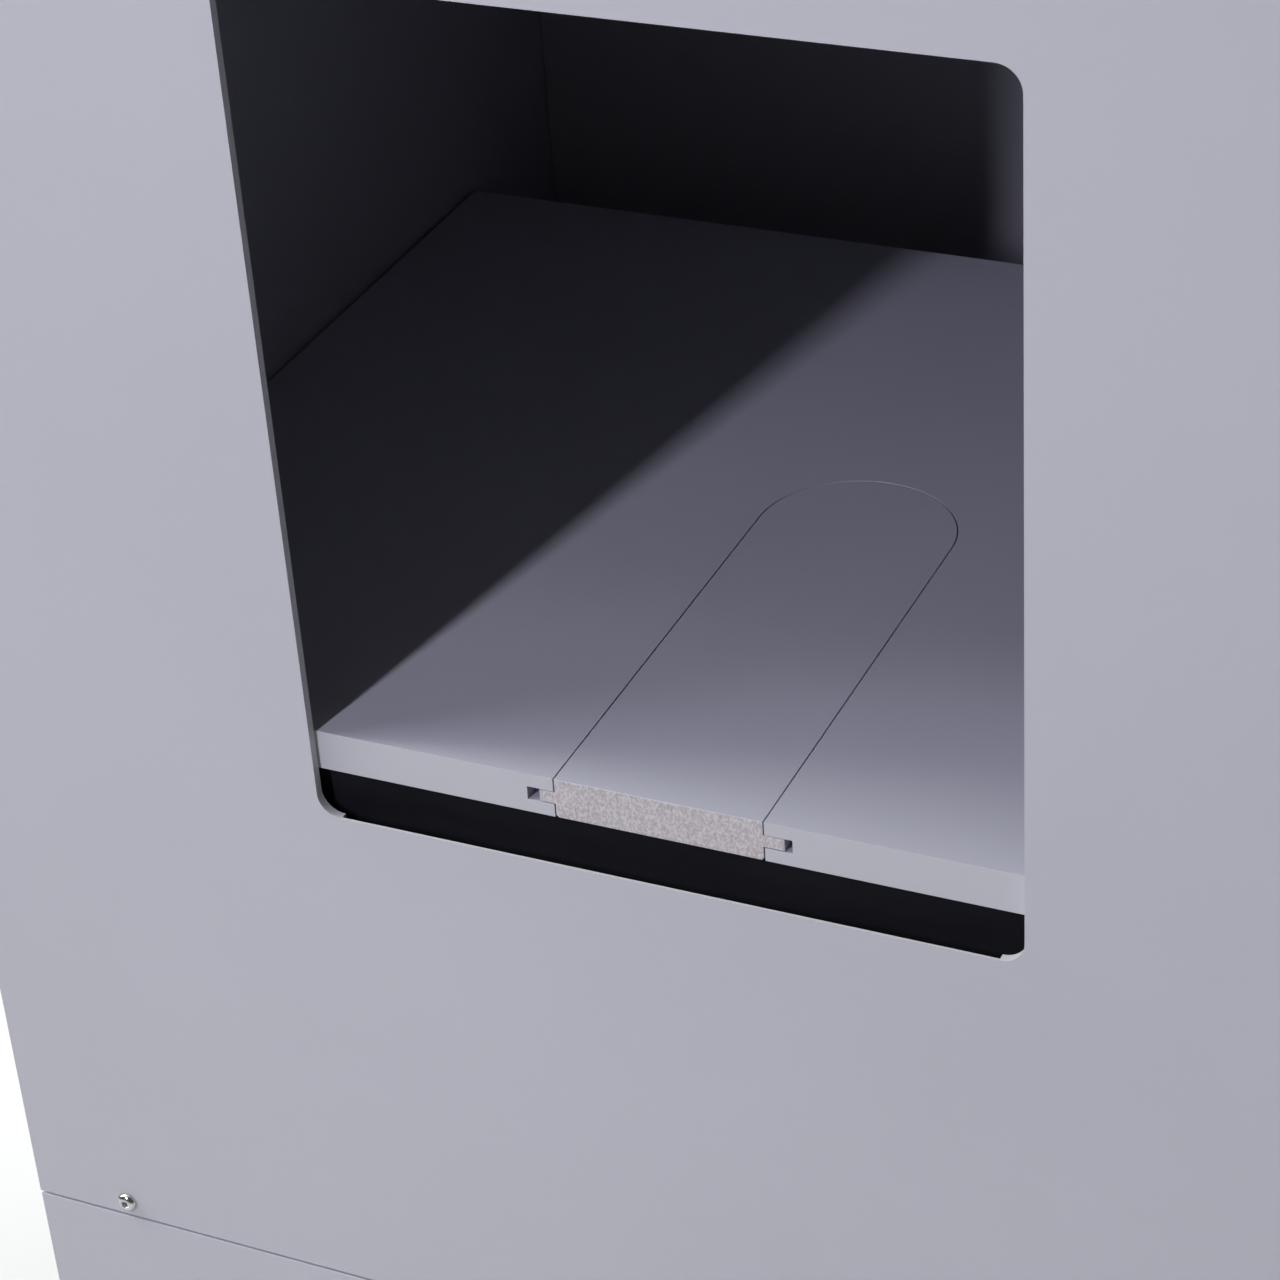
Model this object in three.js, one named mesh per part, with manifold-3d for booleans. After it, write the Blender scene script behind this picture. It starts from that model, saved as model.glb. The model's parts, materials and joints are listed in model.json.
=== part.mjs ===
// A free-standing cash machine with a deep customer bay. The bay has a painted board deck, and a tongue
// let into the deck slides out through the window and uncovers the well that the notes arrive in.
// Millimetres, +Z up, +Y from the customer's side to the service side, origin on the floor at the middle.
import * as THREE from "three";
import { mergeVertices } from "three/addons/utils/BufferGeometryUtils.js";
import Module from "manifold-3d";

const wasm = await Module();
wasm.setup();

// ---- driving dimensions -------------------------------------------------------------------------
const WIDTH = 660; // over the side panels
const HEIGHT = 1500;
const BODY_DEPTH = 760; // fascia face to the service doors' outer face
const PROUD_FRONT = 8; // keys in front of the fascia face
const PROUD_REAR = 32; // safe handle behind the doors
const GAP = 0.3; // between pieces that are fastened face to face
const SHEET = 2; // folded steel sheet

const FASCIA = 4; // fascia panel thickness
const SILL_LIP = 1.2; // the window's lower edge is thinned from behind to this
const SILL_RELIEF = 12; // height of that thinned strip
const WINDOW_W = 300;
const WINDOW_H = 360;
const WINDOW_R = 10;
const WINDOW_Z = 800; // window's lower edge above the floor
const SEAM_Z = WINDOW_Z - 256; // joint between the upper and lower fascia
const SEAM_GAP = 1.5;
const SCREW_X = 281.5;
const SCREW_UP = 8.5; // screw centres above the seam
const SCREW_CLEAR_R = 2.8;
const LID = 4; // top cover thickness

const DECK_T = 18;
const DECK_TOP = WINDOW_Z + 38;
const DECK_SET_BACK = 4.7; // deck front behind the fascia's face
const DECK_BACK = 485;
const DECK_SIDE_GAP = 2.5;
const BAY_HALF = 318; // inner faces of the frame's two sides, which are the bay's walls
const BAY_BACK = 580;
const BAY_TOP = WINDOW_Z + WINDOW_H + 25;
const WALL = 3;
const FRAME_FRONT = FASCIA + 1;
const FRAME_BACK = 738;

const TONGUE_HALF = 44;
const TONGUE_CENTRE = 218; // centre of its round end behind the fascia's face
const SLOT_HALF = 44.5;
const GROOVE_DEEP = 11.5;
const GROOVE_H = 6;
const RIB_H = 5.4;
const RIB_LEFT = 6.7;
const RIB_RIGHT = 8.8;
const TONGUE_CHAMFER = 1; // along the tongue's lower front corners
const WELL_DEEP = 62;
const WELL_FRONT = 52; // the well starts behind the drive roller
const ROLLER_R = 12;
const ROLLER_Y = 30;

const PLINTH_TOP = 60;
const PLINTH_FLOOR = 22;
const PLINTH_FRONT = 40;
const PLINTH_BACK = 730;
const PLINTH_BAR = 30; // width of its box section
const SAFE_HALF = 300;
const SAFE_FRONT = 60;
const SAFE_WALL = 10;
const SAFE_BOTTOM = PLINTH_TOP + GAP;
const SAFE_TOP = SEAM_Z - 14;
const DOOR_T = 12;
const PIVOT_BEHIND = 2; // hinge axis behind the doors' outer face
const BARREL_R = 5;
const BARREL_H = 60;

const F = -(PROUD_FRONT + BODY_DEPTH + PROUD_REAR) / 2 + PROUD_FRONT; // Y of the fascia's face
const HALF_W = WIDTH / 2;
const SIDES = 32; // facets of a small round

// ---- finishes -------------------------------------------------------------------------------------
function finish(color, roughness, metalness) {
  return new THREE.MeshStandardMaterial({ color, roughness, metalness });
}
const paint = finish(0xb5b6c0, 0.5, 0.0);
const boardPaint = finish(0xa9aab4, 0.55, 0.0);
const innerPaint = finish(0x8f909a, 0.6, 0.0);
const safeSteel = finish(0x6f7378, 0.55, 0.4);
const blackPart = finish(0x16171b, 0.6, 0.0);
const galvanised = finish(0x9ea2a6, 0.45, 0.8);
const brightSteel = finish(0xc4c5c8, 0.28, 1.0);
const rubber = finish(0x1b1b1c, 0.85, 0.0);
const glassDark = finish(0x0b0d12, 0.08, 0.0);
const keyMetal = finish(0xb0b2b5, 0.4, 0.9);
const cassettePlastic = finish(0x3d4148, 0.6, 0.0);
const paperWhite = finish(0xe9e7e0, 0.9, 0.0);

// ---- solids ---------------------------------------------------------------------------------------
function toSolid(geometry) {
  const bare = geometry.clone();
  bare.deleteAttribute("normal");
  bare.deleteAttribute("uv");
  const merged = mergeVertices(bare, 1e-4);
  const vertProperties = merged.attributes.position.array;
  const triVerts = new Uint32Array(merged.index.array);
  return new wasm.Manifold(new wasm.Mesh({ numProp: 3, vertProperties, triVerts }));
}

function toGeometry(solid) {
  const mesh = solid.getMesh();
  const geometry = new THREE.BufferGeometry();
  geometry.setAttribute("position", new THREE.BufferAttribute(mesh.vertProperties, 3));
  geometry.setIndex(new THREE.BufferAttribute(mesh.triVerts, 1));
  geometry.computeVertexNormals();
  return geometry;
}

const cut = (body, ...tools) => toGeometry(tools.reduce((s, t) => s.subtract(toSolid(t)), toSolid(body)));
const join = (body, ...more) => toGeometry(more.reduce((s, t) => s.add(toSolid(t)), toSolid(body)));

// The two ends of a size laid evenly about a middle.
const about = (middle, size) => [middle - size / 2, middle + size / 2];

// The section of a turned piece, from pairs of radius and height.
const turning = (pairs) => pairs.map(([r, h]) => new THREE.Vector2(r, h));

// A block between two corners; y is measured back from the fascia's face.
function block([x0, x1], [y0, y1], [z0, z1]) {
  const geometry = new THREE.BoxGeometry(x1 - x0, y1 - y0, z1 - z0);
  return geometry.translate((x0 + x1) / 2, F + (y0 + y1) / 2, (z0 + z1) / 2);
}

function roundedRect(x0, x1, z0, z1, r) {
  const shape = new THREE.Shape();
  shape.moveTo(x0 + r, z0);
  shape.lineTo(x1 - r, z0);
  shape.absarc(x1 - r, z0 + r, r, -Math.PI / 2, 0, false);
  shape.lineTo(x1, z1 - r);
  shape.absarc(x1 - r, z1 - r, r, 0, Math.PI / 2, false);
  shape.lineTo(x0 + r, z1);
  shape.absarc(x0 + r, z1 - r, r, Math.PI / 2, Math.PI, false);
  shape.lineTo(x0, z0 + r);
  shape.absarc(x0 + r, z0 + r, r, Math.PI, Math.PI * 1.5, false);
  return shape;
}

// A panel parallel to the fascia: the outline is in X and Z, and y runs back from the fascia's face.
function upright(shape, y0, y1, curveSegments = 6) {
  const geometry = new THREE.ExtrudeGeometry(shape, { depth: y1 - y0, bevelEnabled: false, curveSegments });
  return geometry.rotateX(Math.PI / 2).translate(0, F + y1, 0);
}

const plate = (x0, x1, z0, z1, r, y0, y1) => upright(roundedRect(x0, x1, z0, z1, r), y0, y1);

// A cylinder about an axis along "x", "y" or "z"; at is its middle, with y back from the fascia's face.
function rod(axis, r, length, [x, y, z], sides = SIDES) {
  const geometry = new THREE.CylinderGeometry(r, r, length, sides);
  if (axis === "x") geometry.rotateZ(Math.PI / 2);
  if (axis === "z") geometry.rotateX(Math.PI / 2);
  return geometry.translate(x, F + y, z);
}

// The tongue's outline from above: straight sides and a round end towards the back.
function tongueShape(half, front) {
  const shape = new THREE.Shape();
  shape.moveTo(-half, F + front);
  shape.lineTo(half, F + front);
  shape.lineTo(half, F + TONGUE_CENTRE);
  shape.absarc(0, F + TONGUE_CENTRE, half, 0, Math.PI, false);
  shape.lineTo(-half, F + front);
  return shape;
}

function tongueSolid(half, front, z0, z1) {
  const options = { depth: z1 - z0, bevelEnabled: false, curveSegments: 40 };
  return new THREE.ExtrudeGeometry(tongueShape(half, front), options).translate(0, 0, z0);
}

const machine = new THREE.Group();
function add(name, geometry, material) {
  const mesh = new THREE.Mesh(geometry, material);
  mesh.name = name;
  machine.add(mesh);
}

// ---- base -----------------------------------------------------------------------------------------
const INLET = { x: -250, z: 41, w: 47.2, h: 23.2, flangeW: 58, flangeH: 30, holeW: 28, holeH: 18 };
const INLET_DEEP = 24;
const INLET_FLANGE = 3;

function buildBase() {
  const reach = BAY_HALF + WALL;
  const inner = reach - PLINTH_BAR;
  const outer = block([-reach, reach], [PLINTH_FRONT, PLINTH_BACK], [PLINTH_FLOOR, PLINTH_TOP]);
  const innerRun = [PLINTH_FRONT + PLINTH_BAR, PLINTH_BACK - PLINTH_BAR];
  const hollow = block([-inner, inner], innerRun, [0, PLINTH_TOP + 1]);
  const clear = 0.8;
  const through = [PLINTH_BACK - PLINTH_BAR - 1, PLINTH_BACK + 1];
  const inletHole = block(about(INLET.x, INLET.w + clear), through, about(INLET.z, INLET.h + clear));
  add("plinth", cut(outer, hollow, inletHole), blackPart);
  addInlet();
  addFeet(reach);
}

function addInlet() {
  const face = PLINTH_BACK + INLET_FLANGE;
  const body = block(about(INLET.x, INLET.w), [PLINTH_BACK - INLET_DEEP, face], about(INLET.z, INLET.h));
  const flangeZ = about(INLET.z, INLET.flangeH);
  const flange = block(about(INLET.x, INLET.flangeW), [PLINTH_BACK + GAP, face], flangeZ);
  const recessDeep = 14;
  const recessRun = [PLINTH_BACK - recessDeep, face + 1];
  const recess = block(about(INLET.x, INLET.holeW), recessRun, about(INLET.z, INLET.holeH));
  add("power_inlet", cut(join(body, flange), recess), blackPart);
}

function addFeet(reach) {
  const padR = 24;
  const padH = 5;
  const neckR = 9;
  const neckZ = 9;
  const studR = 6;
  const top = PLINTH_FLOOR - GAP;
  const pad = [[0, 0], [padR, 0], [padR, padH], [neckR, neckZ]];
  const profile = turning([...pad, [studR, neckZ], [studR, top], [0, top]]);
  const inset = 26;
  for (const [side, x] of [["left", -reach + inset], ["right", reach - inset]]) {
    for (const [end, y] of [["front", PLINTH_FRONT + inset], ["rear", PLINTH_BACK - inset]]) {
      const geometry = new THREE.LatheGeometry(profile, SIDES).rotateX(Math.PI / 2);
      add(`levelling_foot_${end}_${side}`, geometry.translate(x, F + y, 0), rubber);
    }
  }
}

// ---- cabinet --------------------------------------------------------------------------------------
const DISPLAY = { x: -150, z: 1345, w: 262, h: 202 };
const KEYPAD = { x: 90, z: 1345, w: 104, h: 112 };
const CARD = { x: 235, z: 1395, w: 90, h: 30 };
const RECEIPT = { x: 235, z: 1300, w: 92, h: 24 };
const spread = (at, grow = 0) => [
  at.x - at.w / 2 - grow, at.x + at.w / 2 + grow, at.z - at.h / 2 - grow, at.z + at.h / 2 + grow,
];

function buildFascias() {
  const opening = (at, r) => plate(...spread(at), r, -1, FASCIA + 1);
  const screwHole = (x) => rod("y", SCREW_CLEAR_R, FASCIA + 2, [x, FASCIA / 2, SEAM_Z + SCREW_UP], 16);
  const windowX = WINDOW_W / 2;
  const straightX = windowX - WINDOW_R;
  const reliefZ = [WINDOW_Z - SILL_RELIEF, WINDOW_Z + 1];
  const relief = block([-straightX, straightX], [SILL_LIP, FASCIA + 1], reliefZ);
  const upper = cut(
    block([-HALF_W, HALF_W], [0, FASCIA], [SEAM_Z + SEAM_GAP / 2, HEIGHT]),
    plate(-windowX, windowX, WINDOW_Z, WINDOW_Z + WINDOW_H, WINDOW_R, -1, FASCIA + 1),
    relief,
    opening(DISPLAY, 6),
    opening(KEYPAD, 4),
    opening(CARD, 3),
    opening(RECEIPT, 3),
    screwHole(-SCREW_X),
    screwHole(SCREW_X),
  );
  add("upper_fascia", upper, paint);
  const lowerRun = [PLINTH_TOP, SEAM_Z - SEAM_GAP / 2];
  add("lower_fascia", block([-HALF_W, HALF_W], [0, FASCIA], lowerRun), paint);
  addSeamRail();
  for (const [side, x] of [["left", -SCREW_X], ["right", SCREW_X]]) {
    add(`fascia_screw_${side}`, buttonScrew().translate(x, F, SEAM_Z + SCREW_UP), brightSteel);
  }
}

// An angle behind the joint that both fascias bear on and the screws go through.
function addSeamRail() {
  const railHalf = 30;
  const floor = SEAM_Z - railHalf;
  const front = FASCIA + GAP;
  const webBack = 7;
  const ledgeBack = 28;
  const reach = BAY_HALF - GAP;
  const web = block([-reach, reach], [front, webBack], [floor, SEAM_Z + railHalf]);
  const ledge = block([-reach, reach], [front, ledgeBack], [floor, floor + SHEET]);
  const tapped = (x) => rod("y", SCREW_CLEAR_R, ledgeBack, [x, FASCIA, SEAM_Z + SCREW_UP], 16);
  add("seam_rail", cut(join(web, ledge), tapped(-SCREW_X), tapped(SCREW_X)), galvanised);
}

// An M5 button-head screw with a hexagon socket, seated at y 0 with its head towards the customer.
function buttonScrew() {
  const headR = 4.75;
  const headH = 2.75;
  const crownR = 2.2;
  const shankR = 2.5;
  const shank = 14;
  const dome = [];
  const steps = 6;
  for (let i = 0; i <= steps; i++) {
    const t = (i / steps) * (Math.PI / 2);
    dome.push([crownR + (headR - crownR) * Math.cos(t), GAP + (headH - GAP) * Math.sin(t)]);
  }
  const profile = [[0, -shank], [shankR, -shank], [shankR, GAP], ...dome, [0, headH]];
  const socketR = 1.73; // across the corners of a 3 mm key, halved
  const socketDeep = 1.5;
  const body = new THREE.LatheGeometry(turning(profile), 24);
  const socket = new THREE.CylinderGeometry(socketR, socketR, 2 * socketDeep, 6).translate(0, headH, 0);
  return cut(body, socket).rotateZ(Math.PI);
}

// A sheet side with a narrow lip turned in behind the fascia and a wider one beside the rear door.
function sidePanel(s) {
  const y0 = F + FASCIA + GAP;
  const y1 = F + BODY_DEPTH - LID;
  const frontLip = 8;
  const rearLip = 22;
  const corners = [
    [0, y0], [frontLip, y0], [frontLip, y0 + SHEET], [SHEET, y0 + SHEET],
    [SHEET, y1 - SHEET], [rearLip, y1 - SHEET], [rearLip, y1], [0, y1],
  ];
  const points = corners.map(([inward, y]) => new THREE.Vector2(s * (HALF_W - inward), y));
  const depth = HEIGHT - LID - GAP - PLINTH_TOP;
  return new THREE.ExtrudeGeometry(new THREE.Shape(points), { depth, bevelEnabled: false })
    .translate(0, 0, PLINTH_TOP);
}

function buildShell() {
  const y0 = FASCIA + GAP;
  const rimDrop = 22;
  const rimZ = [HEIGHT - rimDrop, HEIGHT - LID + 1];
  const frontRim = y0 + 8;
  const rearRim = BODY_DEPTH - 22;
  const rimHalf = 300;
  add("left_side_panel", sidePanel(-1), paint);
  add("right_side_panel", sidePanel(1), paint);
  const lid = block([-HALF_W, HALF_W], [y0, BODY_DEPTH], [HEIGHT - LID, HEIGHT]);
  const front = block([-rimHalf, rimHalf], [frontRim, frontRim + SHEET], rimZ);
  const rear = block([-rimHalf, rimHalf], [rearRim, rearRim + SHEET], rimZ);
  add("top_cover", join(lid, front, rear), paint);
}

// ---- customer bay ---------------------------------------------------------------------------------
const DECK_FLOOR = DECK_TOP - DECK_T;

function buildBay() {
  for (const [side, s] of [["left", -1], ["right", 1]]) addBaySide(side, s);
  const inside = BAY_HALF - GAP;
  const hood = [BAY_TOP + GAP, BAY_TOP + GAP + WALL];
  const wallDrop = 100; // the back wall runs down behind the deck's rear edge
  const baffleFront = 10;
  const baffleDrop = 60;
  const across = [-inside, inside];
  add("bay_ceiling", block(across, [FRAME_FRONT, FRAME_BACK - WALL], hood), innerPaint);
  const wallZ = [WINDOW_Z - wallDrop, BAY_TOP];
  add("bay_back_wall", block(across, [BAY_BACK, BAY_BACK + SHEET], wallZ), innerPaint);
  const baffleRun = [baffleFront, baffleFront + SHEET];
  add("slot_baffle", block(across, baffleRun, [WINDOW_Z - baffleDrop, DECK_FLOOR - GAP]), blackPart);
}

// A frame side is also the bay's wall, and carries the angle that one side of the deck rests on.
function addBaySide(side, s) {
  const span = (a, b) => (s > 0 ? [a, b] : [-b, -a]);
  const inside = BAY_HALF - GAP;
  const headroom = 24;
  const sheetZ = [PLINTH_TOP + GAP, HEIGHT - headroom];
  const sheet = block(span(BAY_HALF, BAY_HALF + WALL), [FRAME_FRONT, FRAME_BACK], sheetZ);
  add(`${side}_frame_side`, sheet, innerPaint);
  const leg = 26;
  const rise = DECK_FLOOR - GAP;
  const frontGap = 20;
  const run = [DECK_SET_BACK + frontGap, DECK_BACK];
  const flat = block(span(inside - leg, inside), run, [rise - WALL, rise]);
  const upstand = block(span(inside - WALL, inside), run, [rise - leg, rise]);
  add(`${side}_deck_rail`, join(flat, upstand), galvanised);
}

function buildDeck() {
  const half = BAY_HALF - DECK_SIDE_GAP;
  const middle = (DECK_TOP + DECK_FLOOR) / 2;
  const board = cut(
    block([-half, half], [DECK_SET_BACK, DECK_BACK], [DECK_FLOOR, DECK_TOP]),
    tongueSolid(SLOT_HALF, 0, DECK_FLOOR - 1, DECK_TOP + 1),
    tongueSolid(SLOT_HALF + GROOVE_DEEP, 0, middle - GROOVE_H / 2, middle + GROOVE_H / 2),
  );
  add("deck", board, boardPaint);
  const ribs = about(middle, RIB_H);
  const ribShort = 6; // the ribs stop before the round end begins
  const ribRun = [DECK_SET_BACK, TONGUE_CENTRE - ribShort];
  const tongue = join(
    tongueSolid(TONGUE_HALF, DECK_SET_BACK, DECK_FLOOR, DECK_TOP),
    block([-TONGUE_HALF - RIB_LEFT, 0], ribRun, ribs),
    block([0, TONGUE_HALF + RIB_RIGHT], ribRun, ribs),
  );
  add("tongue", cut(tongue, lowerChamfer(-1), lowerChamfer(1)), boardPaint);
}

// A wedge that takes one lower long edge off the tongue's straight part.
function lowerChamfer(s) {
  const leg = TONGUE_CHAMFER * 3;
  const x = s * (TONGUE_HALF + TONGUE_CHAMFER);
  const z = DECK_FLOOR - TONGUE_CHAMFER;
  const wedge = turning([[x - s * leg, z], [x, z], [x, z + leg]]);
  return upright(new THREE.Shape(wedge), 0, TONGUE_CENTRE);
}

// The well is a steel pocket under the slot; notes come in through the mouth in its back wall.
const WELL_SKIN = 1.5;
const WELL_BACK = TONGUE_CENTRE + TONGUE_HALF + 4;
const MOUTH_HALF = 42;
const MOUTH_LOW = 8; // above the well's floor
const MOUTH_H = 26;
const DUCT_WALL = 4;
const DUCT_DEEP = 34;

function buildWell() {
  const top = DECK_FLOOR - GAP;
  const floor = top - WELL_DEEP;
  const inner = SLOT_HALF + 1;
  const outer = inner + WELL_SKIN;
  const mouthX = [-MOUTH_HALF, MOUTH_HALF];
  const mouthZ = [floor + MOUTH_LOW, floor + MOUTH_LOW + MOUTH_H];
  const box = block([-outer, outer], [WELL_FRONT, WELL_BACK + WELL_SKIN], [floor, top]);
  const pocket = block([-inner, inner], [WELL_FRONT + WELL_SKIN, WELL_BACK], [floor + WELL_SKIN, top + 1]);
  const mouth = block(mouthX, [WELL_BACK - 1, WELL_BACK + WELL_SKIN + 1], mouthZ);
  add("note_well", cut(box, pocket, mouth), galvanised);

  const ductTop = mouthZ[1] + DUCT_WALL;
  const front = WELL_BACK + WELL_SKIN + GAP;
  const back = front + DUCT_DEEP;
  const half = MOUTH_HALF + 2;
  const shellX = [-half - DUCT_WALL, half + DUCT_WALL];
  const shell = block(shellX, [front, back], [SAFE_TOP + GAP, ductTop]);
  const boreRun = [front + DUCT_WALL, back - DUCT_WALL];
  const bore = block([-half, half], boreRun, [SAFE_TOP - 1, ductTop - DUCT_WALL]);
  const exit = block(mouthX, [front - 1, front + DUCT_WALL + 1], mouthZ);
  add("note_duct", cut(shell, bore, exit), blackPart);
}

// A rubber roller under the tongue drives it; its shaft runs into the gear motor.
function buildTongueDrive() {
  const z = DECK_FLOOR - GAP - ROLLER_R;
  const tyreHalf = 22;
  const shaftR = 3;
  const shaftStart = -28;
  const shaftEnd = 72;
  const profile = turning([
    [0, shaftStart], [shaftR, shaftStart], [shaftR, -tyreHalf], [ROLLER_R, -tyreHalf],
    [ROLLER_R, tyreHalf], [shaftR, tyreHalf], [shaftR, shaftEnd], [0, shaftEnd],
  ]);
  const roller = new THREE.LatheGeometry(profile, SIDES).rotateZ(-Math.PI / 2);
  add("drive_roller", roller.translate(0, F + ROLLER_Y, z), rubber);

  const motorX = 60;
  const motorLong = 62;
  const motorDrop = 0.5; // its can hangs a little below the shaft's line, clear of the deck
  const bracketT = 4;
  const earT = 1.6;
  const top = DECK_FLOOR - GAP;
  const run = about(ROLLER_Y, 26);
  const bore = rod("x", shaftR + 0.4, 40, [shaftEnd - 8, ROLLER_Y, z], 24);
  const can = rod("x", ROLLER_R, motorLong, [motorX + motorLong / 2, ROLLER_Y, z - motorDrop]);
  const bracket = block([motorX, motorX + bracketT], run, [z - 16, top]);
  const ear = block([motorX + 2, motorX + 52], run, [top - earT, top]);
  add("tongue_motor", cut(join(bracket, can, ear), bore), galvanised);
}

// ---- head: customer controls and electronics --------------------------------------------------------
const COLLAR_FRONT = -1; // each bezel's collar overlaps its face by this

function buildDisplay() {
  const sleeve = 5;
  const rim = 14;
  const proud = 4;
  const collarBack = FASCIA + 8;
  const face = plate(...spread(DISPLAY, rim), 10, -proud, -GAP);
  const collar = plate(...spread(DISPLAY, -GAP), 5, COLLAR_FRONT, collarBack);
  const view = plate(...spread(DISPLAY, -sleeve), 4, -proud - 2, collarBack + 2);
  add("display_bezel", cut(join(face, collar), view), blackPart);

  const glassInset = 7; // inside the bezel's collar, clear of its round corners
  const glassFront = 8;
  const glassX = about(DISPLAY.x, DISPLAY.w - 2 * glassInset);
  const glassZ = about(DISPLAY.z, DISPLAY.h - 2 * glassInset);
  add("display_glass", block(glassX, [glassFront, collarBack], glassZ), glassDark);

  const panelRim = 7;
  const panelBack = FASCIA + 34;
  const [x0, x1, z0, z1] = spread(DISPLAY, panelRim);
  add("display_panel", block([x0, x1], [collarBack + GAP, panelBack], [z0, z1]), galvanised);
}

const KEY_W = 20;
const KEY_H = 16;
const KEY_PITCH_X = 27;
const KEY_PITCH_Z = 23;
const KEY_CLEAR = 0.5;
const KEY_NAMES = ["1", "2", "3", "4", "5", "6", "7", "8", "9", "cancel", "0", "enter"];

function keyPlace(i) {
  const column = i % 3;
  const row = Math.floor(i / 3);
  return [KEYPAD.x + (column - 1) * KEY_PITCH_X, KEYPAD.z + (1.5 - row) * KEY_PITCH_Z];
}

function buildKeypad() {
  const proud = 5;
  const backing = 22;
  const pocketDeep = 12;
  const face = plate(...spread(KEYPAD, 10), 6, -proud, -GAP);
  const body = plate(...spread(KEYPAD, -GAP), 3, COLLAR_FRONT, backing);
  const pockets = KEY_NAMES.map((_, i) => {
    const [x, z] = keyPlace(i);
    const across = about(x, KEY_W + 2 * KEY_CLEAR);
    return block(across, [-proud - 1, pocketDeep], about(z, KEY_H + 2 * KEY_CLEAR));
  });
  add("keypad_frame", cut(join(face, body), ...pockets), keyMetal);
  KEY_NAMES.forEach((name, i) => add(`key_${name}`, keyCap(...keyPlace(i)), keyMetal));
}

// A cap stands proud of the machine's face and reaches back into its pocket.
function keyCap(x, z) {
  const bevel = 1.2;
  const depth = 12;
  const [x0, x1] = about(x, KEY_W - 2 * bevel);
  const [z0, z1] = about(z, KEY_H - 2 * bevel);
  const options = { depth, bevelThickness: bevel, bevelSize: bevel, bevelSegments: 1, curveSegments: 2 };
  const cap = new THREE.ExtrudeGeometry(roundedRect(x0, x1, z0, z1, 1), options).rotateX(Math.PI / 2);
  return cap.translate(0, F - PROUD_FRONT + depth + bevel, 0);
}

const BEZEL_BACK = 20; // the slot bezels' collars reach back to their modules here

// A bezel with a slot through it, and the path that the slot carries on as in the module behind.
function slotBezel(name, at, slotHalf, slotH, proud) {
  const face = plate(...spread(at, 8), 6, -proud, -GAP);
  const collar = plate(...spread(at, -GAP), 2, COLLAR_FRONT, BEZEL_BACK);
  const slot = block(about(at.x, 2 * slotHalf), [-proud - 2, BEZEL_BACK + 4], about(at.z, slotH));
  add(name, cut(join(face, collar), slot), blackPart);
  return (back) => block(about(at.x, 2 * slotHalf), [BEZEL_BACK - 2, back], about(at.z, slotH));
}

function buildCardReader() {
  const path = slotBezel("card_reader_bezel", CARD, 31, 7, 6);
  const back = 200;
  const body = block(about(CARD.x, 100), [BEZEL_BACK + GAP, back], about(CARD.z, 48));
  add("card_reader", cut(body, path(130)), galvanised);
}

function buildReceiptPrinter() {
  const path = slotBezel("receipt_bezel", RECEIPT, 41, 8, 5);
  const half = 46;
  const bodyBack = 150;
  const rollY = 215;
  const rollZ = RECEIPT.z + 10;
  const floor = RECEIPT.z - 50;
  const bodyTop = RECEIPT.z + 40;
  const cheekT = 3;
  const axleR = 6;
  const body = block(about(RECEIPT.x, 2 * half), [BEZEL_BACK + GAP, bodyBack], [floor, bodyTop]);
  const cheekRun = [bodyBack - 4, rollY + 14];
  const cheek = (offset) => block(about(RECEIPT.x + offset, cheekT), cheekRun, [floor, rollZ + 14]);
  const cheekX = half - cheekT / 2;
  const axle = rod("x", axleR, 2 * half, [RECEIPT.x, rollY, rollZ], 24);
  const printer = join(body, cheek(-cheekX), cheek(cheekX), axle);
  add("receipt_printer", cut(printer, path(70)), galvanised);

  const rollR = 42;
  const rollWide = 80;
  const core = rod("x", axleR + 1, rollWide + 10, [RECEIPT.x, rollY, rollZ], 24);
  const roll = rod("x", rollR, rollWide, [RECEIPT.x, rollY, rollZ], 48);
  add("paper_roll", cut(roll, core), paperWhite);
}

function buildComputer() {
  const shelf = BAY_TOP + WALL + 2 * GAP;
  const height = 110;
  const back = 700;
  const ventPitch = 14;
  const ventW = 6;
  const ventX = -270;
  const ventZ = [shelf + 30, shelf + 90];
  const box = block([-290, 0], [430, back], [shelf, shelf + height]);
  const vents = [0, 1, 2, 3, 4].map((i) => {
    const x = ventX + i * ventPitch;
    return block([x, x + ventW], [back - 4, back + 1], ventZ);
  });
  add("computer", cut(box, ...vents), galvanised);
}

// ---- safe -----------------------------------------------------------------------------------------
const SAFE_BACK = BODY_DEPTH - DOOR_T - GAP;
const BOLT_R = 8;
const BOLT_ZS = [170, 290, 410];
const BOLT_Y = SAFE_BACK - 12;
const PIVOT_Y = BODY_DEPTH + PIVOT_BEHIND;
const SPOUT_HALF = 44;
const SPOUT_BACK = 298;
const TOWER_BACK = 240;
const CASSETTE = { halfW: 130, front: 250, back: 690, tall: 140 };

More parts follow.
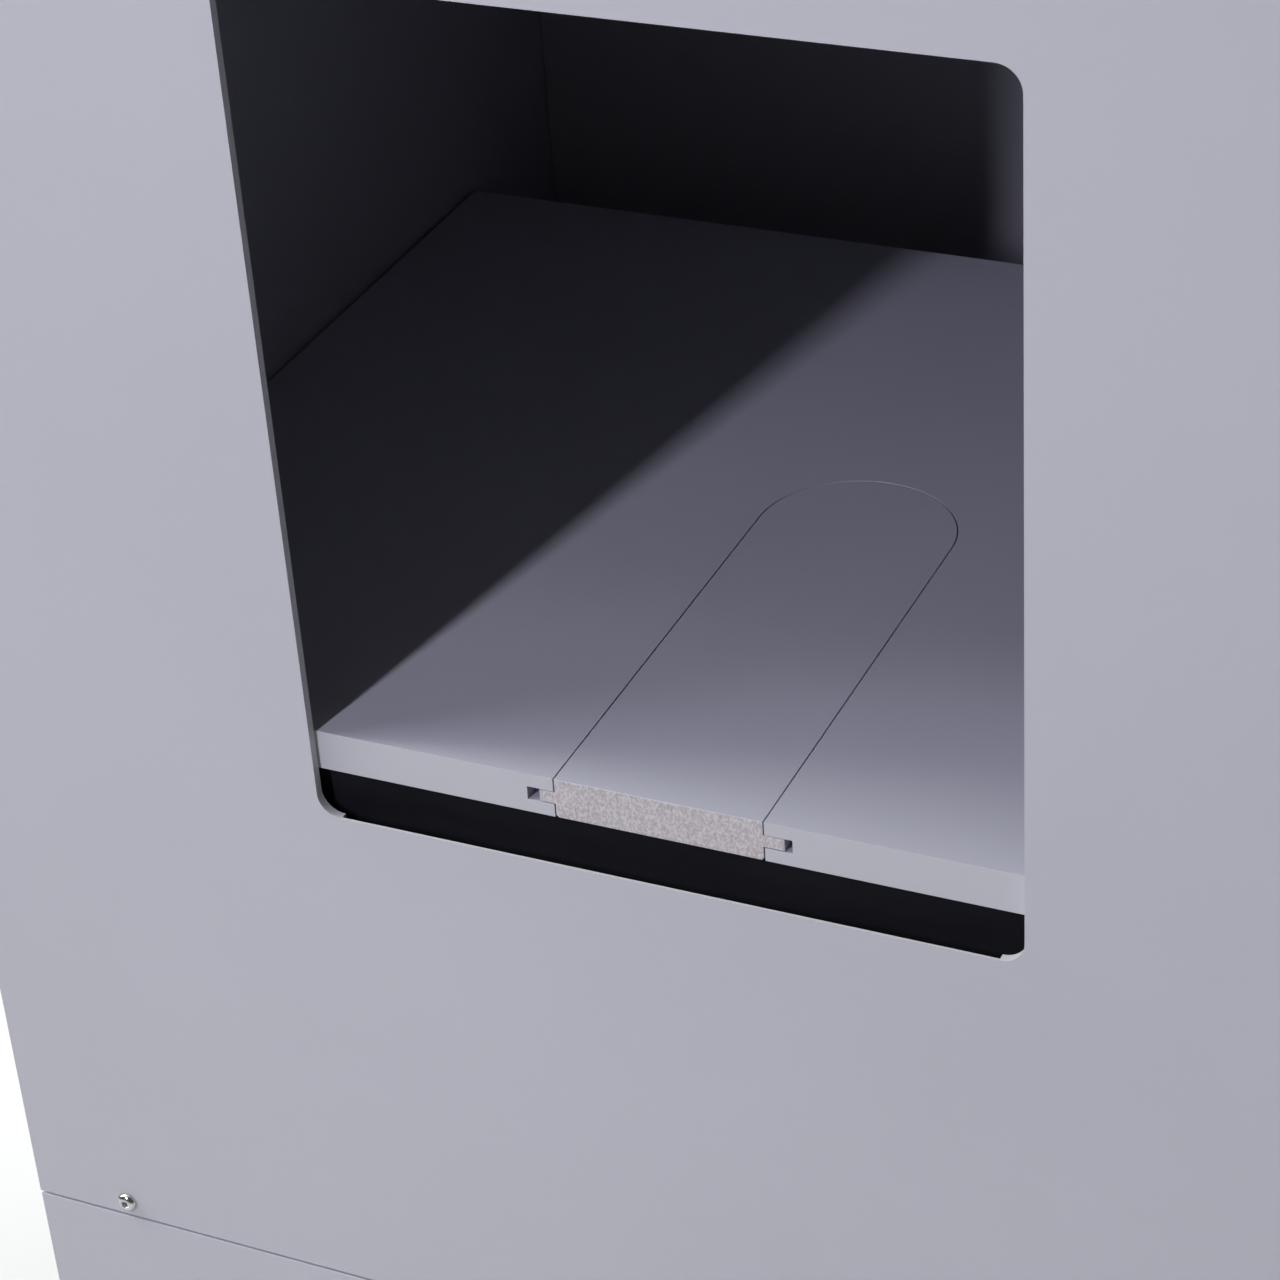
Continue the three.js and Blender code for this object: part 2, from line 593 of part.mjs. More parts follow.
function buildSafe() {
  const w = SAFE_WALL;
  const across = [-SAFE_HALF, SAFE_HALF];
  const innerX = [-SAFE_HALF + w, SAFE_HALF - w];
  const innerZ = [SAFE_BOTTOM + w, SAFE_TOP - w];
  const shell = block(across, [SAFE_FRONT, SAFE_BACK], [SAFE_BOTTOM, SAFE_TOP]);
  const room = block(innerX, [SAFE_FRONT + w, BODY_DEPTH], innerZ);
  const throatZ = [SAFE_TOP - 2 * w, SAFE_TOP + 1];
  const throat = block([-SPOUT_HALF, SPOUT_HALF], [SPOUT_BACK - 30, SPOUT_BACK + 2], throatZ);
  const strikes = BOLT_ZS.map((z) => rod("x", BOLT_R + 1, 30, [-SAFE_HALF + w / 2, BOLT_Y, z], 24));
  add("safe_body", cut(shell, room, throat, ...strikes), safeSteel);

  const floor = innerZ[0] + GAP;
  for (let i = 0; i < 3; i++) addCassette(i, floor + i * (CASSETTE.tall + GAP));

  const top = innerZ[1] - GAP;
  const spoutDrop = 14;
  const tower = block([-140, 140], [SAFE_FRONT + 30, TOWER_BACK], [floor, top]);
  const spout = block([-SPOUT_HALF, SPOUT_HALF], [TOWER_BACK - 10, SPOUT_BACK], [top - spoutDrop, top]);
  add("note_dispenser", join(tower, spout), galvanised);
}

// A cassette of notes, with a recess in its rear end and a bar across the recess to pull it by.
function addCassette(i, z0) {
  const { halfW, front, back, tall } = CASSETTE;
  const gripHalf = 60;
  const gripDeep = 35;
  const barFront = back - 12;
  const box = block([-halfW, halfW], [front, back], [z0, z0 + tall]);
  const recess = block([-gripHalf, gripHalf], [back - gripDeep, back + 1], [z0 + 40, z0 + 100]);
  const bar = block([-gripHalf - 2, gripHalf + 2], [barFront, back - 2], [z0 + 62, z0 + 78]);
  add(`note_cassette_${i + 1}`, join(cut(box, recess), bar), cassettePlastic);
}

// Each door carries the whole barrel of its hinges.
function hingeBarrel(x, z) {
  return rod("z", BARREL_R, BARREL_H, [x, PIVOT_Y, z], 20);
}

function hingeLeaf(x, z) {
  return block([x - 5, x], [BODY_DEPTH - 6, PIVOT_Y], about(z, BARREL_H));
}

const HANDLE_X = -180;
const DIAL_X = -60;
const LOCK_Z = 290; // the handle's and the dial's axes
const HUB_R = 10;
const DIAL_SHAFT_R = 6;

function buildSafeDoor() {
  const z0 = SAFE_BOTTOM + 2;
  const z1 = SAFE_TOP - 2;
  const hingeUp = 70;
  const x = SAFE_HALF + 3;
  const slab = block([-SAFE_HALF, SAFE_HALF], [BODY_DEPTH - DOOR_T, BODY_DEPTH], [z0, z1]);
  const hinges = [z0 + hingeUp, z1 - hingeUp].flatMap((z) => [hingeLeaf(x, z), hingeBarrel(x, z)]);
  const bore = (px, r) => rod("y", r + 0.4, 60, [px, BODY_DEPTH, LOCK_Z], 24);
  add("safe_door", cut(join(slab, ...hinges), bore(HANDLE_X, HUB_R), bore(DIAL_X, DIAL_SHAFT_R)), safeSteel);
  addSafeHandle();
  addDial();
  addBolts();
}

// A rod along y between two distances back from the fascia's face.
function spindle(x, z, r, y0, y1, sides = SIDES) {
  return rod("y", r, y1 - y0, [x, (y0 + y1) / 2, z], sides);
}

function addSafeHandle() {
  const reach = 94;
  const armHalf = 8;
  const face = BODY_DEPTH + GAP;
  const hub = spindle(HANDLE_X, LOCK_Z, HUB_R, BODY_DEPTH - 10, BODY_DEPTH + 14);
  const boss = spindle(HANDLE_X, LOCK_Z, 22, face, face + 12);
  const armRun = [BODY_DEPTH + 12, BODY_DEPTH + PROUD_REAR];
  const arm = block(about(HANDLE_X, 2 * armHalf), armRun, [LOCK_Z - reach, LOCK_Z + HUB_R]);
  add("safe_handle", join(hub, boss, arm), brightSteel);
}

function addDial() {
  const flangeBack = BODY_DEPTH + 8;
  const dial = join(
    spindle(DIAL_X, LOCK_Z, DIAL_SHAFT_R, BODY_DEPTH - 10, flangeBack, 24),
    spindle(DIAL_X, LOCK_Z, 34, BODY_DEPTH + GAP, flangeBack, 48),
    spindle(DIAL_X, LOCK_Z, 20, flangeBack - 1, BODY_DEPTH + 26, 12),
  );
  add("combination_dial", dial, blackPart);
}

// Three bolts on one carriage, which the handle drives into the safe's side.
function addBolts() {
  const long = 40;
  const tip = -SAFE_HALF + SAFE_WALL + 4;
  const overlap = 14;
  const carriageX = [tip + overlap, tip + 64];
  const carriage = block(carriageX, [SAFE_BACK - 18, SAFE_BACK], about(LOCK_Z, 300));
  const bolts = BOLT_ZS.map((z) => rod("x", BOLT_R, long, [tip + long / 2, BOLT_Y, z], 24));
  add("locking_bolts", join(carriage, ...bolts), brightSteel);
}

// ---- rear service door ------------------------------------------------------------------------------
const LOCK = { x: -276, z: 1020 };
const DOOR_HALF = 305;
const DOOR_DEEP = 10;
const LOUVRE = { columns: [-160, 20], rows: 7, pitch: 12, w: 140, h: 4, down: 120 };

function buildRearDoor() {
  const z0 = SAFE_TOP + 16;
  const z1 = HEIGHT - 10;
  const front = BODY_DEPTH - DOOR_DEEP;
  const inner = DOOR_HALF - SHEET;
  const tray = block([-DOOR_HALF, DOOR_HALF], [front, BODY_DEPTH], [z0, z1]);
  const dish = block([-inner, inner], [front - 1, BODY_DEPTH - SHEET], [z0 + SHEET, z1 - SHEET]);
  const lockHole = rod("y", 9.4, 30, [LOCK.x, BODY_DEPTH, LOCK.z], 24);
  const skin = cut(tray, dish, ...louvreSlots(z1 - LOUVRE.down), lockHole);
  const hingeUp = 90;
  const x = DOOR_HALF + 3;
  const zs = [z0 + hingeUp, (z0 + z1) / 2, z1 - hingeUp];
  add("rear_door", join(skin, ...zs.flatMap((z) => [hingeLeaf(x, z), hingeBarrel(x, z)])), paint);
  addDoorLock();
}

function louvreSlots(lowest) {
  const slots = [];
  for (const x of LOUVRE.columns) {
    for (let i = 0; i < LOUVRE.rows; i++) {
      const z = lowest + i * LOUVRE.pitch;
      slots.push(block([x, x + LOUVRE.w], [BODY_DEPTH - 4, BODY_DEPTH + 1], [z, z + LOUVRE.h]));
    }
  }
  return slots;
}

function addDoorLock() {
  const face = BODY_DEPTH + GAP;
  const out = BODY_DEPTH + 8;
  const barrel = spindle(LOCK.x, LOCK.z, 9, BODY_DEPTH - 14, out);
  const rose = spindle(LOCK.x, LOCK.z, 13, face, face + 3);
  const cam = block(about(LOCK.x, 16), [BODY_DEPTH - 16, BODY_DEPTH - 13], [LOCK.z - 8, LOCK.z + 34]);
  const keyway = block(about(LOCK.x, 2), [out - 4, out + 4], about(LOCK.z, 10));
  add("rear_door_lock", cut(join(barrel, rose, cam), keyway), brightSteel);
}

buildBase();
buildFascias();
buildShell();
buildBay();
buildDeck();
buildWell();
buildTongueDrive();
buildDisplay();
buildKeypad();
buildCardReader();
buildReceiptPrinter();
buildComputer();
buildSafe();
buildSafeDoor();
buildRearDoor();

export default machine;
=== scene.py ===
"""The looks of a free-standing cash machine: painted sheet panels round a deep bay with a board deck,
and a tongue let into the deck that slides out over the note well. Metres, +Z up, customer at -Y."""

import json
import math

import bmesh
import bpy
from mathutils import Matrix, Vector


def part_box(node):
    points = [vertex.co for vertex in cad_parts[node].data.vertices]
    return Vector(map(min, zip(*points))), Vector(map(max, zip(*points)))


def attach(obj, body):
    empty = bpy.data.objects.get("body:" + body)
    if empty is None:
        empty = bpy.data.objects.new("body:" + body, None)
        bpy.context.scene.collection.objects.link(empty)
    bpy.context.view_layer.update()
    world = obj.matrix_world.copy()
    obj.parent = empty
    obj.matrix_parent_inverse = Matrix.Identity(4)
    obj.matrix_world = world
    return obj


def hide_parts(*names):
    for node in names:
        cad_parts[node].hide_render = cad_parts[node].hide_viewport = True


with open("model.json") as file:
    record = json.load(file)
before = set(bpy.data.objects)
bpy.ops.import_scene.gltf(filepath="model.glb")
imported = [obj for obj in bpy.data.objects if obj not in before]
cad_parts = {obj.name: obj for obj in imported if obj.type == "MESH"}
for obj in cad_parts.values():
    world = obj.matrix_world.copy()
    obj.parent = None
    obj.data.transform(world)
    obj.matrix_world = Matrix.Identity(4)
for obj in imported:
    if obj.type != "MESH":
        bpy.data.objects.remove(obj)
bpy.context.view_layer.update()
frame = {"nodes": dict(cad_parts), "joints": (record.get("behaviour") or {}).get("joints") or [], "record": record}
nodes = frame["nodes"]
pivots = {joint["child"]: Vector(joint["pos_m"]) for joint in frame["joints"] if "pos_m" in joint}

MM = 0.001
SILL_Z = 0.800  # lower edge of the bay's window
FASCIA_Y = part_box("upper_fascia")[0].y
DECK_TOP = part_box("deck")[1].z
WINDOW_LEFT = -0.150
SHADOW_BEARING = 10.0  # degrees from straight ahead, towards the customer's left
LIGHT_AWAY = 2.6  # from the window to the lights in front of it
STRIP_WIDTH = 0.165
SMOOTH_BELOW = math.radians(35)  # a fold sharper than this keeps its edge
DOOR_FACE = 2.0 * MM  # how far a door's outer face lies inside its hinge pin
BARREL_R = 5.0 * MM
BARREL_H = 60.0 * MM
LOUVRE_COLUMNS = (-160.0 * MM, 20.0 * MM)
LOUVRE_WIDTH = 140.0 * MM
LOUVRE_ROWS = 7
LOUVRE_PITCH = 12.0 * MM
LOUVRE_DOWN = 120.0 * MM  # the lowest row, from the door's top edge


# ---- writing shaders --------------------------------------------------------------------------------
class Value:
    """A number that changes over a surface: sums and products of Values add their Math nodes."""

    def __init__(self, shader, socket):
        self.shader = shader
        self.socket = socket

    def math(self, operation, *others):
        sockets = {i: other for i, other in enumerate((self, *others))}
        return self.shader.node("ShaderNodeMath", {"operation": operation}, sockets)

    def __add__(self, other):
        return self.math("ADD", other)

    def __sub__(self, other):
        return self.math("SUBTRACT", other)

    def __rsub__(self, other):
        return self.shader.node("ShaderNodeMath", {"operation": "SUBTRACT"}, {0: other, 1: self})

    def __mul__(self, other):
        return self.math("MULTIPLY", other)

    def __pow__(self, other):
        return self.math("POWER", other)

    def __gt__(self, other):
        return self.math("GREATER_THAN", other)

    def __lt__(self, other):
        return self.math("LESS_THAN", other)

    def smooth(self, low, high):
        """0 below low, 1 above high and a soft step between them."""
        settings = {"interpolation_type": "SMOOTHSTEP"}
        return self.shader.node("ShaderNodeMapRange", settings, {0: self, 1: low, 2: high, 3: 0.0, 4: 1.0})


class Shader:
    def __init__(self, name):
        self.material = bpy.data.materials.new(name)
        self.material.use_nodes = True
        self.tree = self.material.node_tree
        self.bsdf = self.tree.nodes["Principled BSDF"]

    def node(self, kind, settings=None, sockets=None, out=0):
        made = self.tree.nodes.new(kind)
        for key, setting in (settings or {}).items():
            if key == "stops":
                self.set_stops(made.color_ramp, setting)
            else:
                setattr(made, key, setting)
        for key, value in (sockets or {}).items():
            self.feed(made.inputs[key], value)
        return Value(self, made.outputs[out])

    def feed(self, socket, value):
        if isinstance(value, Value):
            self.tree.links.new(value.socket, socket)
        else:
            socket.default_value = value

    @staticmethod
    def set_stops(ramp, stops):
        while len(ramp.elements) < len(stops):
            ramp.elements.new(1.0)
        for element, (place, colour) in zip(ramp.elements, stops):
            element.position = place
            element.color = (*colour, 1.0)

    def place(self, scale=(1.0, 1.0, 1.0)):
        """Where a point is on the machine, in metres, stretched by scale."""
        at = self.node("ShaderNodeTexCoord", out="Object")
        return self.node("ShaderNodeMapping", {}, {"Vector": at, "Scale": scale})

    def axes(self):
        at = self.node("ShaderNodeTexCoord", out="Object")
        split = self.node("ShaderNodeSeparateXYZ", {}, {0: at})
        outputs = split.socket.node.outputs
        return [Value(self, outputs[i]) for i in range(3)]

    def facing(self, axis):
        """The surface normal's part along X, Y or Z."""
        normal = self.node("ShaderNodeNewGeometry", out="Normal")
        to_object = {"vector_type": "NORMAL", "convert_from": "WORLD", "convert_to": "OBJECT"}
        turned = self.node("ShaderNodeVectorTransform", to_object, {0: normal})
        split = self.node("ShaderNodeSeparateXYZ", {}, {0: turned})
        return Value(self, split.socket.node.outputs["XYZ".index(axis)])

    def noise(self, scale, detail=3.0, rough=0.5, stretch=(1.0, 1.0, 1.0)):
        sockets = {"Vector": self.place(stretch), "Scale": scale, "Detail": detail, "Roughness": rough}
        return self.node("ShaderNodeTexNoise", {"noise_dimensions": "3D"}, sockets)

    def cells(self, scale, stretch=(1.0, 1.0, 1.0)):
        return self.node("ShaderNodeTexVoronoi", {}, {"Vector": self.place(stretch), "Scale": scale})

    def mix(self, mask, first, second):
        """Two colours, the second where the mask is 1."""
        mixer = self.tree.nodes.new("ShaderNodeMix")
        mixer.data_type = "RGBA"
        self.feed(mixer.inputs[0], mask)
        self.feed(mixer.inputs[6], first if isinstance(first, Value) else (*first, 1.0))
        self.feed(mixer.inputs[7], second if isinstance(second, Value) else (*second, 1.0))
        return Value(self, mixer.outputs[2])

    def bump(self, height, strength, distance):
        sockets = {"Height": height, "Strength": strength, "Distance": distance}
        return self.node("ShaderNodeBump", {}, sockets)

    def finish(self, **sockets):
        for name, value in sockets.items():
            key = name.replace("_", " ")
            if isinstance(value, tuple) and len(value) == 3:
                value = (*value, 1.0)
            self.feed(self.bsdf.inputs[key], value)
        return self.material


def tint(colour, factor):
    return tuple(min(1.0, c * factor) for c in colour)


# ---- finishes ---------------------------------------------------------------------------------------
PANEL_GREY = (0.512, 0.514, 0.545)
BOARD_GREY = (0.440, 0.440, 0.502)
# painted highlight: the deck's front face, paler than the top for the light it catches
BOARD_FRONT_HIGHLIGHT = (0.520, 0.523, 0.545)


def powder_coat(name, colour, roughness=0.42):
    """Sprayed powder: orange peel a millimetre or two across, faint cloudiness and a rub of dust."""
    s = Shader(name)
    cloud = s.noise(3.1, 4.0, 0.55)
    speck = s.noise(1400.0, 2.0, 0.6)
    shade = s.mix(cloud.smooth(0.3, 0.7), tint(colour, 0.975), tint(colour, 1.02))
    shade = s.mix(speck.smooth(0.62, 0.8) * 0.25, shade, tint(colour, 0.86))
    smear = s.noise(9.0, 5.0, 0.6, (1.0, 1.0, 0.35))
    gloss = smear * 0.12 + (roughness - 0.06)
    wave = s.noise(520.0, 2.0, 0.5)
    fine = s.noise(1900.0, 2.0, 0.5)
    relief = s.bump(wave * 0.7 + fine * 0.3, 0.05, 0.0006)
    return s.finish(Base_Color=shade, Roughness=gloss, Normal=relief, IOR=1.5)


def board_paint():
    """Rolled paint on board, with the front face painted paler: a painted highlight for the light that face
    catches.
    """
    s = Shader("board_paint")
    cloud = s.noise(6.0, 5.0, 0.6)
    shade = s.mix(cloud.smooth(0.25, 0.75), tint(BOARD_GREY, 0.97), tint(BOARD_GREY, 1.03))
    # painted highlight: the face turned to the customer gets the paler colour, for the light falling on it
    front = (s.facing("Y") * -1.0).smooth(0.5, 0.95)
    shade = s.mix(front, shade, BOARD_FRONT_HIGHLIGHT)
    nap = s.noise(700.0, 3.0, 0.55)
    relief = s.bump(nap, 0.10, 0.0005)
    gloss = s.noise(14.0, 4.0, 0.6) * 0.14 + 0.36
    return s.finish(Base_Color=shade, Roughness=gloss, Normal=relief, IOR=1.48)


def tongue_paint():
    """The board's paint, with the tongue's front left as it was sawn: pale, warm and speckled."""
    s = Shader("tongue_paint")
    cloud = s.noise(6.0, 5.0, 0.6)
    paint = s.mix(cloud.smooth(0.25, 0.75), tint(BOARD_GREY, 0.97), tint(BOARD_GREY, 1.03))
    fibre = s.noise(1150.0, 4.0, 0.65, (1.0, 1.0, 0.6))
    chips = s.cells(900.0, (1.0, 1.0, 0.5))
    bare = s.mix(fibre.smooth(0.36, 0.64), (0.38, 0.350, 0.345), (0.66, 0.625, 0.62))
    bare = s.mix(chips.smooth(0.1, 0.5) * 0.3, bare, (0.56, 0.525, 0.52))
    sawn = (s.facing("Y") * -1.0).smooth(0.75, 0.95)
    shade = s.mix(sawn, paint, bare)
    nap = s.noise(700.0, 3.0, 0.55)
    relief = s.bump(nap * (1.0 - sawn) * 0.3 + fibre * sawn, 0.35, 0.0005)
    return s.finish(Base_Color=shade, Roughness=sawn * 0.35 + 0.45, Normal=relief, IOR=1.48)


def hammered_paint():
    s = Shader("hammered_paint")
    blobs = s.cells(210.0)
    cloud = s.noise(12.0, 4.0, 0.6)
    shade = s.mix(blobs.smooth(0.0, 0.55), (0.085, 0.092, 0.10), (0.15, 0.16, 0.17))
    shade = s.mix(cloud.smooth(0.4, 0.8) * 0.4, shade, (0.19, 0.20, 0.21))
    relief = s.bump(blobs, 0.5, 0.0012)
    return s.finish(Base_Color=shade, Roughness=cloud * 0.15 + 0.32, Normal=relief, Metallic=0.25)


def moulded_plastic(name, colour, roughness):
    """Finely grained plastic, rubbed paler in places."""
    s = Shader(name)
    grain = s.noise(1700.0, 2.0, 0.6)
    wear = s.noise(22.0, 5.0, 0.65)
    shade = s.mix(wear.smooth(0.45, 0.8) * 0.5, colour, tuple(c * 1.9 + 0.004 for c in colour))
    relief = s.bump(grain, 0.25, 0.0004)
    return s.finish(Base_Color=shade, Roughness=wear * 0.16 + roughness - 0.08, Normal=relief)


def zinc_plate():
    """Galvanised sheet with its faint spangle."""
    s = Shader("zinc_plate")
    spangle = s.cells(75.0)
    cloud = s.noise(30.0, 4.0, 0.6)
    shade = s.mix(spangle.smooth(0.1, 0.7), (0.36, 0.37, 0.38), (0.50, 0.51, 0.52))
    relief = s.bump(cloud, 0.12, 0.0004)
    return s.finish(Base_Color=shade, Metallic=0.85, Roughness=spangle * 0.15 + 0.34, Normal=relief)


def brushed(name, colour, along, roughness=0.3):
    """Satin steel with fine scratches along one axis."""
    s = Shader(name)
    stretch = tuple(0.03 if axis == along else 1.0 for axis in "XYZ")
    lines = s.noise(2600.0, 3.0, 0.6, stretch)
    cloud = s.noise(18.0, 4.0, 0.6)
    shade = s.mix(lines.smooth(0.3, 0.7), tint(colour, 0.86), tint(colour, 1.06))
    relief = s.bump(lines, 0.12, 0.0002)
    gloss = lines * 0.14 + cloud * 0.1 + (roughness - 0.1)
    return s.finish(Base_Color=shade, Metallic=1.0, Roughness=gloss, Normal=relief)


def bright_plate():
    s = Shader("bright_plate")
    haze = s.noise(120.0, 4.0, 0.6)
    pits = s.noise(1500.0, 2.0, 0.5)
    shade = s.mix(haze.smooth(0.3, 0.7), (0.58, 0.58, 0.59), (0.66, 0.66, 0.67))
    return s.finish(Base_Color=shade, Metallic=1.0, Roughness=haze * 0.12 + 0.12,
                    Normal=s.bump(pits, 0.05, 0.0002))


def moulded_rubber():
    s = Shader("moulded_rubber")
    bloom = s.noise(60.0, 5.0, 0.6)
    shade = s.mix(bloom.smooth(0.4, 0.75), (0.014, 0.014, 0.014), (0.045, 0.044, 0.042))
    return s.finish(Base_Color=shade, Roughness=bloom * 0.2 + 0.62, Normal=s.bump(bloom, 0.2, 0.0006))


def screen_glass():
    """Dark glass, with a slightly lighter lit area inside a black border and a film of finger marks."""
    s = Shader("screen_glass")
    low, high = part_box("display_glass")
    x, _, z = s.axes()
    border = 0.011
    inside = (x > low.x + border) * (x < high.x - border) * (z > low.z + border) * (z < high.z - border)
    marks = s.noise(26.0, 6.0, 0.7)
    fade = z.smooth(low.z, high.z)
    area = s.mix(fade, (0.010, 0.013, 0.020), (0.018, 0.024, 0.036))
    shade = s.mix(inside, (0.004, 0.004, 0.005), area)
    gloss = marks.smooth(0.5, 0.8) * 0.14 + 0.05
    return s.finish(Base_Color=shade, Roughness=gloss, Coat_Weight=0.6, Coat_Roughness=0.03)


def thermal_paper():
    """White paper wound on itself: the turns show as fine rings on the ends."""
    s = Shader("thermal_paper")
    low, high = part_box("paper_roll")
    middle = (low + high) / 2
    _, y, z = s.axes()
    radius = ((y - middle.y) ** 2.0 + (z - middle.z) ** 2.0) ** 0.5
    turns = (radius * 5200.0).math("SINE") * 0.5 + 0.5
    fleck = s.noise(800.0, 3.0, 0.5)
    shade = s.mix(turns * 0.35, (0.80, 0.79, 0.76), (0.62, 0.61, 0.58))
    return s.finish(Base_Color=shade, Roughness=0.78, Normal=s.bump(turns * 0.6 + fleck * 0.4, 0.2, 0.0003))


def key_print(name, colour):
    s = Shader(name)
    wear = s.noise(900.0, 3.0, 0.6)
    shade = s.mix(wear.smooth(0.45, 0.75) * 0.5, colour, tuple(c * 0.6 + 0.05 for c in colour))
    return s.finish(Base_Color=shade, Roughness=wear * 0.2 + 0.4)


FINISHES = {
    "painted_panel": powder_coat("panel_paint", PANEL_GREY),
    "painted_board": board_paint(),
    # painted shade: the bay's inside is the panel paint, made darker here for the shade that falls inside the bay
    "inner_paint": powder_coat("inner_paint", (0.40, 0.402, 0.445), 0.6),
    "safe_paint": hammered_paint(),
    "black_steel": powder_coat("black_steel_paint", (0.014, 0.014, 0.017), 0.5),
    "black_plastic": moulded_plastic("moulded_black", (0.016, 0.016, 0.019), 0.46),
    "galvanised_steel": zinc_plate(),
    "module_case": brushed("module_steel", (0.48, 0.49, 0.50), "X", 0.4),
    "bright_steel": bright_plate(),
    "key_metal": brushed("key_steel", (0.56, 0.56, 0.57), "X", 0.34),
    "rubber": moulded_rubber(),
    "display_glass": screen_glass(),
    "cassette_plastic": moulded_plastic("cassette_moulding", (0.045, 0.050, 0.060), 0.5),
    "paper": thermal_paper(),
}
TONGUE_PAINT = tongue_paint()


def matt_black():
    """Dead black brushed on, to hide the works under the deck."""
    s = Shader("matt_black")
    streak = s.noise(60.0, 4.0, 0.6, (0.2, 1.0, 1.0))
    shade = s.mix(streak.smooth(0.3, 0.7), (0.010, 0.0105, 0.0125), (0.0135, 0.014, 0.0165))
    relief = s.bump(streak, 0.15, 0.0004)
    return s.finish(Base_Color=shade, Roughness=streak * 0.1 + 0.85, Normal=relief, Specular_IOR_Level=0.05)


BAFFLE_BLACK = matt_black()


# ---- carried-over CAD nodes ---------------------------------------------------------------------------
EDGE_BREAK = {
    "painted_panel": 0.4, "painted_board": 0.6, "inner_paint": 0.5, "safe_paint": 1.5, "black_steel": 0.6,
    "black_plastic": 0.8, "galvanised_steel": 0.3, "module_case": 0.6, "bright_steel": 0.5, "key_metal": 0.6,
    "rubber": 0.5, "display_glass": 0.3, "cassette_plastic": 1.5, "paper": 0.4,
}


def dress_cad_nodes():
    """Every node gets its slot's finish, and its sharp edges a small round that catches the light."""
    for part in frame["record"]["subparts"]:
        node = nodes[part["node"]]
        slot = part["material_slot"]
        node.data.materials.clear()
        node.data.materials.append(FINISHES[slot])
        weld = node.modifiers.new("weld", "WELD")
        weld.merge_threshold = 0.02 * MM
        flats = node.modifiers.new("flats", "DECIMATE")
        flats.decimate_type = "DISSOLVE"
        flats.angle_limit = math.radians(0.5)
        edges = node.modifiers.new("edges", "BEVEL")
        edges.width = EDGE_BREAK[slot] * MM
        edges.segments = 2
        edges.limit_method = "ANGLE"
        edges.angle_limit = SMOOTH_BELOW
        shading = node.modifiers.new("shading", "WEIGHTED_NORMAL")
        shading.weight = 100
        shading.keep_sharp = False
    nodes["tongue"].data.materials[0] = TONGUE_PAINT
    nodes["slot_baffle"].data.materials[0] = BAFFLE_BLACK


dress_cad_nodes()


# ---- meshes -------------------------------------------------------------------------------------------
def rounded_rectangle(width, height, radius, steps=5):
    """Points of a round-cornered rectangle about the origin, anticlockwise."""
    points = []
    for quarter, (sx, sy) in enumerate(((1, 1), (-1, 1), (-1, -1), (1, -1))):
        for i in range(steps + 1):
            angle = math.radians(90 * (quarter + i / steps))
            x = sx * (width / 2 - radius) + radius * math.cos(angle)
            y = sy * (height / 2 - radius) + radius * math.sin(angle)
            points.append((x, y))
    return points


def circle(radius, count=48):
    return [(radius * math.cos(2 * math.pi * i / count), radius * math.sin(2 * math.pi * i / count))
            for i in range(count)]


class Piece:
    """A mesh in the making, in metres. at() places points drawn in a plane and a depth along its normal."""

    def __init__(self, origin=(0, 0, 0), facing="front"):
        self.mesh = bmesh.new()
        self.origin = Vector(origin)
        self.facing = facing
        self.mark = 0

    def at(self, u, v, depth):
        """u to the right and v up as seen from outside; depth comes out towards the viewer."""
        turned = {
            "front": Vector((u, -depth, v)),
            "rear": Vector((-u, depth, v)),
            "up": Vector((u, v, depth)),
        }
        return self.origin + turned[self.facing]

    def loop(self, outline, depth):
        return [self.mesh.verts.new(self.at(u, v, depth)) for u, v in outline]

    def bridge(self, first, second):
        count = len(first)
        for i in range(count):
            face = self.mesh.faces.new((first[i], first[(i + 1) % count], second[(i + 1) % count], second[i]))
            face.material_index = self.mark
            face.smooth = True

    def cap(self, loop, flip=False):
        face = self.mesh.faces.new(reversed(loop) if flip else loop)
        face.material_index = self.mark
        face.smooth = True

    def loft(self, sections, start=True, end=True):
        """A skin through sections, each an outline and its depth."""
        loops = [self.loop(outline, depth) for outline, depth in sections]
        for first, second in zip(loops, loops[1:]):
            self.bridge(first, second)
        if start:
            self.cap(loops[0], True)
        if end:
            self.cap(loops[-1])
        return loops

    def turned(self, profile, count=48):
        """A solid of revolution from (radius, depth) pairs, closed at both ends."""
        return self.loft([(circle(radius, count), depth) for radius, depth in profile])

    def lettering(self, text, size, place, depth, thickness=0.12 * MM, spin=0.0):
        """Raised figures, centred at place."""
        curve = bpy.data.curves.new("figures", "FONT")
        curve.body = text
        curve.size = size
        curve.align_x = "CENTER"
        curve.align_y = "CENTER"
        curve.extrude = thickness
        curve.resolution_u = 3
        holder = bpy.data.objects.new("figures", curve)
        bpy.context.scene.collection.objects.link(holder)
        bpy.context.view_layer.update()
        shape = holder.evaluated_get(bpy.context.evaluated_depsgraph_get()).to_mesh()
        turn = Matrix.Rotation(spin, 2)
        verts = []
        for vertex in shape.vertices:
            u, v = turn @ vertex.co.xy
            verts.append(self.mesh.verts.new(self.at(u + place[0], v + place[1], vertex.co.z + depth)))
        for polygon in shape.polygons:
            face = self.mesh.faces.new([verts[i] for i in polygon.vertices])
            face.material_index = self.mark
        holder.to_mesh_clear()
        bpy.data.objects.remove(holder)
        bpy.data.curves.remove(curve)

    def done(self, name, body, finishes, replaced=()):
        """Makes the object, sets it on its body and hides the CAD nodes that it stands for."""
        bmesh.ops.recalc_face_normals(self.mesh, faces=self.mesh.faces)
        for edge in self.mesh.edges:
            edge.smooth = len(edge.link_faces) == 2 and edge.calc_face_angle() < SMOOTH_BELOW
        data = bpy.data.meshes.new(name)
        self.mesh.to_mesh(data)
        self.mesh.free()
        for finish in finishes:
            data.materials.append(finish)
        piece = bpy.data.objects.new(name, data)
        bpy.context.scene.collection.objects.link(piece)
        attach(piece, body)
        if replaced:
            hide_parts(*replaced)
        return piece


def centre_of(node):
    low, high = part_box(node)
    return (low + high) / 2


